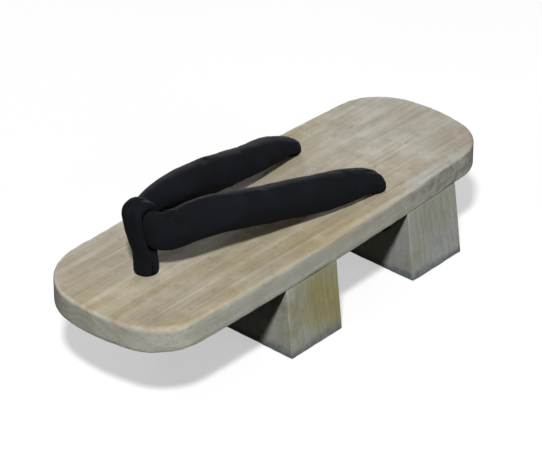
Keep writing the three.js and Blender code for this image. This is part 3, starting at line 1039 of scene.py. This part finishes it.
def filled(rings, runs, girth, free, cloth):
    """Rings blown up by a short cloth simulation of a coarser sleeve over them."""
    scene = bpy.context.scene
    rows = list(range(0, len(rings), COARSE))
    coarse = [rings[r][::COARSE] for r in rows]
    count = len(coarse[0])
    piece = sleeve("padding", coarse, [runs[r] for r in rows], girth, None)
    start = [v.co.copy() for v in piece.data.vertices]
    group = piece.vertex_groups.new(name="held")
    group.add(range(len(start)), 1.0, "REPLACE")
    for r, row in enumerate(rows):
        group.add(range(r * count, (r + 1) * count), 1 - free[row], "REPLACE")
    tool = piece.modifiers.new("Padding", "CLOTH")
    tool.point_cache.frame_start, tool.point_cache.frame_end = 1, FILL_FRAMES
    tool.collision_settings.use_collision = False
    rules = tool.settings
    rules.quality = FILL_QUALITY
    rules.vertex_group_mass = group.name
    rules.tension_stiffness = rules.compression_stiffness = cloth.stiffness
    rules.shear_stiffness = cloth.stiffness / 3
    rules.bending_stiffness = cloth.bending
    rules.shrink_min = -cloth.spare
    rules.use_pressure = True
    rules.uniform_pressure_force = cloth.pressure
    rules.effector_weights.gravity = 0.0
    for number in range(1, FILL_FRAMES + 1):
        scene.frame_set(number)
    result = piece.evaluated_get(bpy.context.evaluated_depsgraph_get())
    steps = []
    for v, place in zip(result.data.vertices, start):
        step = v.co - place
        steps.append(step * min(1.0, cloth.swell / max(step.length, 1e-9)))
    bpy.data.objects.remove(piece)
    scene.frame_set(1)
    grid = [steps[r * count:(r + 1) * count] for r in range(len(rows))]
    swollen = []
    for r, ring in enumerate(rings):
        u = min(r / COARSE, len(rows) - 1.0)
        spans = [through([row[k] for row in grid], u) for k in range(count)]
        around = spans[-1:] + spans + spans[:2]
        swollen.append([p + through(around, 1 + k / COARSE) for k, p in enumerate(ring)])
    return swollen


def make_strap(cloth, material):
    rows = strap_rows()
    places = [row[0] for row in rows]
    spots = stations(places, STRAP_STEP)
    apex_run = next(run for u, run in spots if u >= len(ARM) - 1)
    board_run = next(run for u, run in spots if u >= len(rows) - 3)
    total = spots[-1][1]
    rings, runs, loose, reach = [], [], [], []
    angles = ring_angles(STRAP_ROUND)
    out = Vector((-1, 0, 0))
    for u, run in spots:
        u = min(u, len(rows) - 1.0)
        centre = through(places, u)
        ahead = heading(places, u)
        wide, thick, tilt = (eased([row[k] for row in rows], u) for k in (1, 2, 3))
        level = Vector((ahead.x, ahead.y, 0))
        if level.length > 0.5:
            out = level.normalized().cross(UP)
        wide_axis = out * math.cos(tilt) - UP * math.sin(tilt)
        wide_axis = (wide_axis - ahead * wide_axis.dot(ahead)).normalized()
        thick_axis = wide_axis.cross(ahead).normalized()
        from_apex = abs(run - apex_run)
        to_board = (board_run - apex_run) - from_apex if run >= apex_run else run - (total - board_run)
        free = smooth(to_board, 0.5 * MM, 24 * MM) * smooth(from_apex, 4.5 * MM, 10 * MM)
        slack = 1 - cloth.slack * free
        ring = []
        for t in angles:
            x, y = oval_point(t, STRAP_SQUARE)
            ring.append(centre + wide_axis * x * wide * slack / 2 + thick_axis * y * thick * slack / 2)
        rings.append(ring)
        runs.append(run)
        reach.append((from_apex, to_board, 1 if run >= apex_run else -1))
        loose.append(free)
    girth = max(girth_of(ring) for ring in rings)
    bends = [smooth(away, 5 * MM, 8 * MM) * smooth(away, 24 * MM, 15 * MM) for away, _, _ in reach]
    rings = relaxed(unfolded(rings), bends)
    rings = filled(rings, runs, girth, loose, cloth)
    piece = sleeve("strap_padded", rings, runs, girth, material)
    points = piece.data.vertices
    normals = [n.vector.copy() for n in piece.data.vertex_normals]
    seam = []
    for r, (from_apex, to_board, way) in enumerate(reach):
        for k, t in enumerate(angles):
            # The last points before the seam count back from it.
            t -= 2 * math.pi if t > 3 * math.pi / 2 - 0.5 else 0.0
            v = points[r * STRAP_ROUND + k]
            v.co += normals[v.index] * strap_relief(cloth, t, v.co.copy(), from_apex, to_board, way)
            if to_board > 1.5 * MM:
                v.co.z = max(v.co.z, TOP + STRAP_CLEAR)
        if to_board > 9 * MM and from_apex > 11 * MM:
            under = r * STRAP_ROUND
            seam.append((way, points[under].co + normals[under] * STITCH_LIFT))
    piece.data.update()
    return piece, seam


# The thong's sleeve: step from ring to ring, points round a ring, and shape of its oval over the
# board and near it.
THONG_STEP = 0.7 * MM
THONG_ROUND = 56
THONG_SQUARE = (2.5, 2.9)
# Depth of the thong's wrinkles, lumps and long crease, and the crease's place and reach across it.
WRINKLE = 0.16 * MM
LUMP = 0.20 * MM
CREASE = 0.45 * MM
CREASE_AT = 0.15
CREASE_REACH = 0.12


def make_thong(cloth, material):
    places = [Vector((side, back, rise)) * MM + Vector((0, 0, TOP)) for side, back, rise, _, _ in THONG]
    rings, runs = [], []
    for u, run in stations(places, THONG_STEP):
        u = min(u, len(THONG) - 1.0)
        centre = through(places, u)
        ahead = heading(places, u)
        wide, thick = (eased([row[k] for row in THONG], u) * MM for k in (3, 4))
        across = Vector((1, 0, 0))
        across = (across - ahead * across.dot(ahead)).normalized()
        outward = ahead.cross(across).normalized() * -1
        rise = centre.z - TOP
        gather = smooth(rise, 9 * MM, 1.5 * MM) * smooth(rise, -1.0 * MM, 0.6 * MM)
        creased = CREASE * smooth(rise, 2 * MM, 8 * MM)
        square = mixed(*THONG_SQUARE, smooth(rise, 11 * MM, 6 * MM))
        ring = []
        for t in ring_angles(THONG_ROUND):
            x, y = oval_point(t, square)
            arm = across * x * wide / 2 + outward * y * thick / 2
            place = centre + arm
            out = WRINKLE * math.cos(5 * t + rise * 90) + LUMP * noise.noise(place * 260)
            out -= creased * math.exp(-((x - CREASE_AT) / CREASE_REACH) ** 2) * max(y, 0.0)
            out += cloth.pleat * 0.55 * gather * (abs(math.cos(6 * t + 0.4)) - 0.6)
            ring.append(place + arm.normalized() * out)
        rings.append(ring)
        runs.append(run)
    girth = max(girth_of(ring) for ring in rings)
    return sleeve("toe_thong_sleeve", unfolded(rings), runs, girth, material)


# Knots: radius of their cord, how far their middle hangs under the board, and steps along and round.
KNOT_CORD = 2.0 * MM
KNOT_DROP = 4.4 * MM
KNOT_STEPS = 150
KNOT_ROUND = 20
# Size of a knot's lobes to the side, back and up, and the shift that centres it, in millimetres.
KNOT_LOBES = (2.5, 1.5, 2.25)
KNOT_SHIFT = 0.6


def make_knot(name, place, material):
    """A plain stopper knot: a three-lobed turn of cloth cord under a hole."""
    x, y = place
    middle = Vector((x * MM, y * MM, UNDER - KNOT_DROP))
    wide, deep, high = KNOT_LOBES

    def at(t):
        return middle + Vector((
            wide * (math.sin(t) + 2 * math.sin(2 * t)),
            deep * (math.cos(t) - 2 * math.cos(2 * t)) + KNOT_SHIFT,
            -high * math.sin(3 * t))) * MM

    rings, runs = [], []
    run = 0.0
    for r in range(KNOT_STEPS):
        t = 2 * math.pi * r / KNOT_STEPS
        here = at(t)
        ahead = (at(t + 0.01) - at(t - 0.01)).normalized()
        side = ahead.cross(UP).normalized()
        rise = side.cross(ahead)
        ring = []
        for k in range(KNOT_ROUND):
            a = 2 * math.pi * k / KNOT_ROUND
            radius = KNOT_CORD * (1 + 0.05 * math.cos(3 * a + 9 * t) + 0.05 * noise.noise(here * 400))
            ring.append(here + side * math.cos(a) * radius + rise * math.sin(a) * radius)
        rings.append(ring)
        runs.append(run)
        run += (at(t + 2 * math.pi / KNOT_STEPS) - here).length
    return sleeve(name, rings, runs, 2 * math.pi * KNOT_CORD, material, loop=True)


# Stitches along the seam.

# Shortest and longest stitch as shares of the stitch length, and the seed of their unevenness.
STITCH_SHARES = (0.85, 1.1)
STITCH_SEED = 7


def stitch_tree():
    """Node tree that lays uneven stitches along an edge path, with named inputs for their sizes."""
    tree = bpy.data.node_groups.new("Seam stitches", "GeometryNodeTree")
    face = tree.interface
    face.new_socket("Geometry", in_out="INPUT", socket_type="NodeSocketGeometry")
    for label in ("Spacing", "Stitch length", "Thread"):
        face.new_socket(label, in_out="INPUT", socket_type="NodeSocketFloat")
    face.new_socket("Seed", in_out="INPUT", socket_type="NodeSocketInt")
    face.new_socket("Material", in_out="INPUT", socket_type="NodeSocketMaterial")
    face.new_socket("Geometry", in_out="OUTPUT", socket_type="NodeSocketGeometry")
    given = tree.nodes.new("NodeGroupInput").outputs
    path = add(tree, "GeometryNodeMeshToCurve", {"Mesh": given["Geometry"]})
    spaced = {"Curve": path.outputs[0], "Length": given["Spacing"]}
    even = add(tree, "GeometryNodeResampleCurve", spaced, mode="LENGTH")
    bead = add(tree, "GeometryNodeMeshUVSphere", {"Segments": 8, "Rings": 6, "Radius": 0.5})
    along = add(tree, "FunctionNodeAlignRotationToVector",
                {"Vector": tree.nodes.new("GeometryNodeInputTangent").outputs[0]}, axis="Z")
    shares = {2: STITCH_SHARES[0], 3: STITCH_SHARES[1], "Seed": given["Seed"]}
    uneven = add(tree, "FunctionNodeRandomValue", shares, data_type="FLOAT")
    length = times(tree, given["Stitch length"], uneven.outputs[1])
    size = add(tree, "ShaderNodeCombineXYZ", {"X": given["Thread"], "Y": given["Thread"], "Z": length})
    laid = add(tree, "GeometryNodeInstanceOnPoints", {
        "Points": even.outputs[0], "Instance": bead.outputs["Mesh"],
        "Rotation": along.outputs[0], "Scale": size.outputs[0]})
    plain = add(tree, "GeometryNodeRealizeInstances", {"Geometry": laid.outputs[0]})
    round_off = add(tree, "GeometryNodeSetShadeSmooth", {"Geometry": plain.outputs[0]})
    dye = {"Geometry": round_off.outputs[0], "Material": given["Material"]}
    dyed = add(tree, "GeometryNodeSetMaterial", dye)
    result = tree.nodes.new("NodeGroupOutput")
    tree.links.new(dyed.outputs[0], result.inputs[0])
    return tree


def sew(seam, cloth, material):
    """Stitches along both arms of the seam, as one plain mesh."""
    mesh = bpy.data.meshes.new("seam_path")
    lines = [(k, k + 1) for k in range(len(seam) - 1) if seam[k][0] == seam[k + 1][0]]
    mesh.from_pydata([tuple(p) for _, p in seam], lines, [])
    path = linked("seam_path", mesh)
    tree = stitch_tree()
    tool = path.modifiers.new("Stitches", "NODES")
    tool.node_group = tree
    values = {"Spacing": cloth.stitch_spacing, "Stitch length": cloth.stitch_length,
              "Thread": cloth.thread, "Seed": STITCH_SEED, "Material": material}
    for item in tree.interface.items_tree:
        if item.in_out == "INPUT" and item.name in values:
            tool[item.identifier] = values[item.name]
    graph = bpy.context.evaluated_depsgraph_get()
    plain = bpy.data.meshes.new_from_object(path.evaluated_get(graph))
    plain.name = "strap_stitches"
    bpy.data.objects.remove(path)
    if not plain.polygons:
        raise RuntimeError("the seam has no stitches")
    return linked("strap_stitches", plain)


def thread_finish(name, colours):
    made, tree, shader = finish(name, 0.75)
    spot = add(tree, "ShaderNodeTexCoord").outputs["Object"]
    twist = cloud(tree, spot, EVEN, 2600.0, 2.0)
    shade = tint(tree, between(tree, twist, 0.35, 0.65), colours.navy, PALE_TWIST)
    tree.links.new(shade, shader.inputs["Base Color"])
    bump = add(tree, "ShaderNodeBump", {"Height": twist, "Strength": 0.4, "Distance": 0.1 * MM})
    tree.links.new(bump.outputs[0], shader.inputs["Normal"])
    return made


def settle(piece, node):
    """Puts a piece on the one body and hides the CAD node that it stands in for, if it has one."""
    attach(piece, "root")
    if node:
        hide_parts(node)


# The stage: height that the camera is aimed at, the nearest that it sees, and half the floor's width.
AIM_HEIGHT = 34 * MM
NEAREST = 50 * MM
FLOOR_REACH = 4.0
# Lamps: direction from the sandal, distance, size, and the value that holds the power.
LAMPS = {
    "key": ((0.345, -0.47, 0.80), 3.2, 0.30, "key_power"),
    "side": ((0.95, 0.06, 0.22), 3.0, 1.7, "side_power"),
    "back": ((-0.72, 0.68, 0.07), 3.0, 0.6, "back_power"),
    "overhead": ((-0.25, 0.20, 0.95), 3.0, 2.6, "top_power"),
}


def aim(piece, direction):
    """Points a camera or lamp along a direction."""
    piece.rotation_mode = "QUATERNION"
    piece.rotation_quaternion = direction.to_track_quat("-Z", "Y")


def place_camera(stage):
    level = math.cos(stage.elevation)
    eye = stage.distance * Vector((
        math.sin(stage.azimuth) * level, -math.cos(stage.azimuth) * level, math.sin(stage.elevation)))
    data = bpy.data.cameras.new("camera")
    data.lens = stage.lens
    data.clip_start = NEAREST
    camera = linked("camera", data)
    camera.location = eye
    aim(camera, Vector((0, 0, AIM_HEIGHT)) - eye)
    bpy.context.scene.camera = camera


def lay_floor(stage):
    mesh = bpy.data.meshes.new("floor")
    corners = [(x * FLOOR_REACH, y * FLOOR_REACH, 0) for x, y in ((-1, -1), (1, -1), (1, 1), (-1, 1))]
    mesh.from_pydata(corners, [], [(0, 1, 2, 3)])
    floor = linked("floor", mesh)
    made, tree, shader = finish("floor_paint", 0.9)
    spot = add(tree, "ShaderNodeTexCoord").outputs["Object"]
    mottle = cloud(tree, spot, EVEN, 9.0, 3.0)
    darker = [v * 0.97 for v in stage.floor]
    shade = tint(tree, between(tree, mottle, 0.3, 0.7, 0.0, 0.25), stage.floor, darker)
    tree.links.new(shade, shader.inputs["Base Color"])
    shader.inputs["Specular IOR Level"].default_value = 0.2
    shader.inputs["Emission Color"].default_value = (1.0, 1.0, 1.0, 1.0)
    shader.inputs["Emission Strength"].default_value = stage.floor_glow
    mesh.materials.append(made)
    floor.visible_diffuse = False
    floor.visible_glossy = False


def hang_lamps(stage):
    for name, (toward, far, size, power) in LAMPS.items():
        light = bpy.data.lights.new(name, "AREA")
        light.size = size
        light.energy = getattr(stage, power)
        lamp = linked(name, light)
        lamp.location = Vector(toward).normalized() * far
        aim(lamp, -Vector(toward))
        lamp.visible_camera = False


def light_room(stage):
    """Soft light from the room's upper half, and a plain backdrop where the camera looks past the floor."""
    world = bpy.data.worlds.new("room")
    bpy.context.scene.world = world
    world.use_nodes = True
    room = world.node_tree
    spot = add(room, "ShaderNodeTexCoord").outputs["Generated"]
    height = add(room, "ShaderNodeSeparateXYZ", {0: spot}).outputs["Z"]
    upper = between(room, height, -0.05, 0.10, 0.0, stage.sky)
    seen = add(room, "ShaderNodeLightPath").outputs["Is Camera Ray"]
    glow = add(room, "ShaderNodeMix", {0: seen, 2: upper, 3: stage.backdrop}, data_type="FLOAT")
    room.links.new(glow.outputs[0], room.nodes["Background"].inputs["Strength"])
    room.nodes["Background"].inputs["Color"].default_value = (1.0, 1.0, 1.0, 1.0)


class GETA_OT_stage(bpy.types.Operator):
    """Set the camera, the lights and the plain floor"""
    bl_idname = "geta.set_stage"
    bl_label = "Set the stage"

    def execute(self, context):
        context.scene.view_settings.view_transform = "Standard"
        for make in (place_camera, lay_floor, hang_lamps, light_room):
            make(context.scene.geta_stage)
        return {"FINISHED"}


# The heart of the growth rings: of the board, and of a tooth, to the side of it and ahead of its front.
BOARD_PITH = (-0.012, 0.0, -0.055)
TOOTH_PITH_SIDE = 0.07
TOOTH_PITH_AHEAD = 60
# Main and second colour of each tooth.
TOOTH_COLOURS = {"front": ("olive", "ochre"), "rear": ("slate", "olive")}


class GETA_OT_board(bpy.types.Operator):
    """Make the planed board with its three holes"""
    bl_idname = "geta.make_board"
    bl_label = "Make the board"

    def execute(self, context):
        size = context.scene.geta_board
        wood = wood_finish("board_grain", context.scene.geta_wood, "Y", BOARD_PITH,
                           "pale", "warm", BOARD_MARKS)
        levels = rounded_levels(UNDER, TOP, size.under_round, size.top_round, BOARD_ROWS)
        rings = [[(x, y, z) for x, y in board_outline(size, inset)] for inset, z, _ in levels]
        edges = [edge for _, _, edge in levels]
        piece = wooden_block("board_planed", rings, edges, HOLES.values(), size.wear, wood)
        settle(piece, "board")
        return {"FINISHED"}


class GETA_OT_teeth(bpy.types.Operator):
    """Make the two teeth that are glued under the board"""
    bl_idname = "geta.make_teeth"
    bl_label = "Make the teeth"

    def execute(self, context):
        board, size = context.scene.geta_board, context.scene.geta_teeth
        for which, plan in TEETH.items():
            pith = (TOOTH_PITH_SIDE, (plan[0] - TOOTH_PITH_AHEAD) * MM, 0.0)
            wood = wood_finish(f"tooth_{which}_grain", context.scene.geta_wood, "Z", pith,
                               *TOOTH_COLOURS[which], TOOTH_MARKS[which], foot=True)
            levels = rounded_levels(0.0, UNDER - JOINT_GAP, size.foot_round, size.joint_round, TOOTH_ROWS)
            rings = []
            for inset, z, _ in levels:
                rings.append([(x, y, z) for x, y in tooth_outline(board, size, plan, z, inset)])
            edges = [edge if z < UNDER / 2 else 0.0 for _, z, edge in levels]
            piece = wooden_block(f"tooth_{which}_block", rings, edges, (), size.wear, wood)
            settle(piece, f"tooth_{which}")
        return {"FINISHED"}


class GETA_OT_strap(bpy.types.Operator):
    """Make the padded strap, its seam and its stitches"""
    bl_idname = "geta.make_strap"
    bl_label = "Make the strap"

    def execute(self, context):
        cloth = context.scene.geta_cloth
        piece, seam = make_strap(cloth, shared_finish("strap_weave", cloth_finish, cloth))
        settle(piece, "strap")
        stitches = sew(seam, cloth, shared_finish("seam_thread", thread_finish, cloth))
        settle(stitches, None)
        return {"FINISHED"}


class GETA_OT_thong(bpy.types.Operator):
    """Make the toe thong that holds the apex of the strap"""
    bl_idname = "geta.make_thong"
    bl_label = "Make the toe thong"

    def execute(self, context):
        cloth = context.scene.geta_cloth
        piece = make_thong(cloth, shared_finish("thong_weave", cloth_finish, cloth))
        settle(piece, "toe_thong")
        return {"FINISHED"}


class GETA_OT_knots(bpy.types.Operator):
    """Tie the knots that hold the strap and the thong under the board"""
    bl_idname = "geta.tie_knots"
    bl_label = "Tie the knots"

    def execute(self, context):
        cloth = context.scene.geta_cloth
        for which, place in HOLES.items():
            node, part = ("toe_thong", "thong") if which == "front" else ("strap", "strap")
            piece = make_knot(f"knot_{which}", place, shared_finish(f"{part}_weave", cloth_finish, cloth))
            settle(piece, node)
        return {"FINISHED"}


class GETA_PT_panel(bpy.types.Panel):
    """Lists the pieces of the geta and their sizes"""
    bl_idname = "GETA_PT_panel"
    bl_label = "Geta"
    bl_space_type = "VIEW_3D"
    bl_region_type = "UI"
    bl_category = "Geta"

    def draw(self, context):
        for operator in OPERATORS:
            self.layout.operator(operator.bl_idname)
        for name, group in GROUPS.items():
            box = self.layout.box()
            for key in group.__annotations__:
                box.prop(getattr(context.scene, name), key)


OPERATORS = (GETA_OT_stage, GETA_OT_board, GETA_OT_teeth, GETA_OT_strap, GETA_OT_thong, GETA_OT_knots)
CLASSES = (*GROUPS.values(), *OPERATORS, GETA_PT_panel)


def register():
    for cls in CLASSES:
        bpy.utils.register_class(cls)
    for name, group in GROUPS.items():
        setattr(bpy.types.Scene, name, PointerProperty(type=group))


def unregister():
    for name in GROUPS:
        delattr(bpy.types.Scene, name)
    for cls in reversed(CLASSES):
        bpy.utils.unregister_class(cls)


def main():
    register()
    bpy.ops.geta.set_stage()
    bpy.ops.geta.make_board()
    bpy.ops.geta.make_teeth()
    bpy.ops.geta.make_strap()
    bpy.ops.geta.make_thong()
    bpy.ops.geta.tie_knots()


if __name__ == "__main__":
    main()
